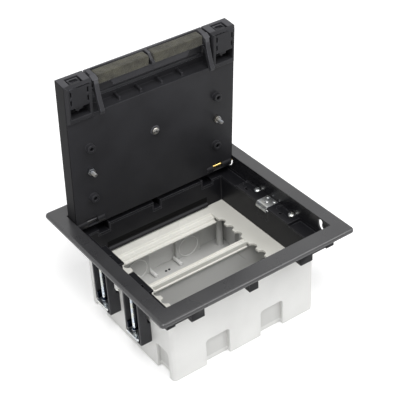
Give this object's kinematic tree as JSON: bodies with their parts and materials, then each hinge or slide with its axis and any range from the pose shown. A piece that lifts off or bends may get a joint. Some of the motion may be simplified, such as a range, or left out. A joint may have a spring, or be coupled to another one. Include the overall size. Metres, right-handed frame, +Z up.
{
  "type": "floor socket box",
  "caption": "Square in-floor outlet box with a hinged lid, cable flap, slide latches, a frame for rows of wiring modules and claws that clamp it in a raised floor.",
  "frame": {"origin": "middle of the back box's underside, under the middle of the floor flange", "axes": "+Z up, +Y from the latch edge to the hinge edge, +X to the right seen from the latch edge"},
  "size_m": [0.22, 0.2082, 0.2643],
  "materials": {
    "dark_plastic": "satin",
    "black_plastic": "gloss",
    "lid_plastic": "satin",
    "black_steel": "satin",
    "coated_steel": "matte",
    "grey_plastic": "satin",
    "cream_plastic": "semi-gloss",
    "zinc": "zinc plated",
    "brass": "polished",
    "foam": "matte foam"
  },
  "bodies": {
    "housing": {"floor_frame": "dark_plastic", "side_ledge_left": "black_plastic", "side_ledge_right": "black_plastic", "front_ledge": "black_plastic", "rear_ledge": "black_plastic", "corner_ledge_left_front": "black_plastic", "corner_ledge_left_rear": "black_plastic", "corner_ledge_right_front": "black_plastic", "corner_ledge_right_rear": "black_plastic", "frame_liner": "black_plastic", "liner_blind_left": "black_plastic", "liner_blind_right": "black_plastic", "back_box": "grey_plastic", "module_frame": "cream_plastic", "row_divider": "grey_plastic", "earth_bracket": "zinc", "bracket_rivets": "zinc", "box_screws": "zinc", "claw_guide_left_front": "dark_plastic", "claw_guide_left_rear": "dark_plastic", "claw_guide_right_front": "dark_plastic", "claw_guide_right_rear": "dark_plastic"},
    "lid": {"lid_body": "lid_plastic", "cover_plate": "coated_steel", "lid_studs": "zinc", "lid_nuts": "zinc", "lid_centre_screw": "zinc", "latch_cover_left": "lid_plastic", "latch_cover_right": "lid_plastic", "flap_pins": "zinc"},
    "flap": {"cable_flap": "lid_plastic", "foam_strip_left": "foam", "foam_strip_right": "foam"},
    "left_latch": {"latch_left": "lid_plastic"},
    "right_latch": {"latch_right": "lid_plastic"},
    "left_hinge_pin": {"hinge_pin_left": "black_steel"},
    "right_hinge_pin": {"hinge_pin_right": "brass"},
    "left_front_claw_screw": {"claw_screw_left_front": "zinc"},
    "left_front_claw": {"claw_left_front": "zinc"},
    "left_rear_claw_screw": {"claw_screw_left_rear": "zinc"},
    "left_rear_claw": {"claw_left_rear": "zinc"},
    "right_front_claw_screw": {"claw_screw_right_front": "zinc"},
    "right_front_claw": {"claw_right_front": "zinc"},
    "right_rear_claw_screw": {"claw_screw_right_rear": "zinc"},
    "right_rear_claw": {"claw_right_rear": "zinc"}
  },
  "joints": [
    {"name": "lid_hinge", "type": "hinge", "parent": "housing", "child": "lid", "pos_m": [0, 0.0784, 0.10037], "axis": [1, 0, 0], "range_deg": [-8, 85.65]},
    {"name": "flap_hinge", "type": "hinge", "parent": "lid", "child": "flap", "pos_m": [0, 0.05955, 0.25094], "axis": [-1, 0, 0], "range_deg": [0, 38]},
    {"name": "left_latch_slide", "type": "slide", "parent": "lid", "child": "left_latch", "axis": [0, -0.0758, 0.9971], "range_m": [0, 0.0042]},
    {"name": "left_hinge_pin_slide", "type": "slide", "parent": "lid", "child": "left_hinge_pin", "axis": [1, 0, 0], "range_m": [0, 0.005]},
    {"name": "right_latch_slide", "type": "slide", "parent": "lid", "child": "right_latch", "axis": [0, -0.0758, 0.9971], "range_m": [0, 0.0042]},
    {"name": "right_hinge_pin_slide", "type": "slide", "parent": "lid", "child": "right_hinge_pin", "axis": [-1, 0, 0], "range_m": [0, 0.005]},
    {"name": "left_front_claw_screw_turn", "type": "hinge", "parent": "housing", "child": "left_front_claw_screw", "pos_m": [-0.0922, -0.023, 0.057], "axis": [0, 0, -1], "range_deg": [0, 21346]},
    {"name": "left_front_claw_climb", "type": "slide", "parent": "housing", "child": "left_front_claw", "axis": [0, 0, 1], "range_m": [0, 0.0415]},
    {"name": "left_rear_claw_screw_turn", "type": "hinge", "parent": "housing", "child": "left_rear_claw_screw", "pos_m": [-0.0922, 0.0318, 0.057], "axis": [0, 0, -1], "range_deg": [0, 21346]},
    {"name": "left_rear_claw_climb", "type": "slide", "parent": "housing", "child": "left_rear_claw", "axis": [0, 0, 1], "range_m": [0, 0.0415]},
    {"name": "right_front_claw_screw_turn", "type": "hinge", "parent": "housing", "child": "right_front_claw_screw", "pos_m": [0.0922, -0.0318, 0.057], "axis": [0, 0, -1], "range_deg": [0, 21346]},
    {"name": "right_front_claw_climb", "type": "slide", "parent": "housing", "child": "right_front_claw", "axis": [0, 0, 1], "range_m": [0, 0.0415]},
    {"name": "right_rear_claw_screw_turn", "type": "hinge", "parent": "housing", "child": "right_rear_claw_screw", "pos_m": [0.0922, 0.023, 0.057], "axis": [0, 0, -1], "range_deg": [0, 21346]},
    {"name": "right_rear_claw_climb", "type": "slide", "parent": "housing", "child": "right_rear_claw", "axis": [0, 0, 1], "range_m": [0, 0.0415]}
  ],
  "couplings": [
    {"joint": "left_front_claw_screw_turn", "follows": "left_front_claw_climb", "rad_per_m": 8976},
    {"joint": "left_rear_claw_screw_turn", "follows": "left_rear_claw_climb", "rad_per_m": 8976},
    {"joint": "right_front_claw_screw_turn", "follows": "right_front_claw_climb", "rad_per_m": 8976},
    {"joint": "right_rear_claw_screw_turn", "follows": "right_rear_claw_climb", "rad_per_m": 8976}
  ]
}
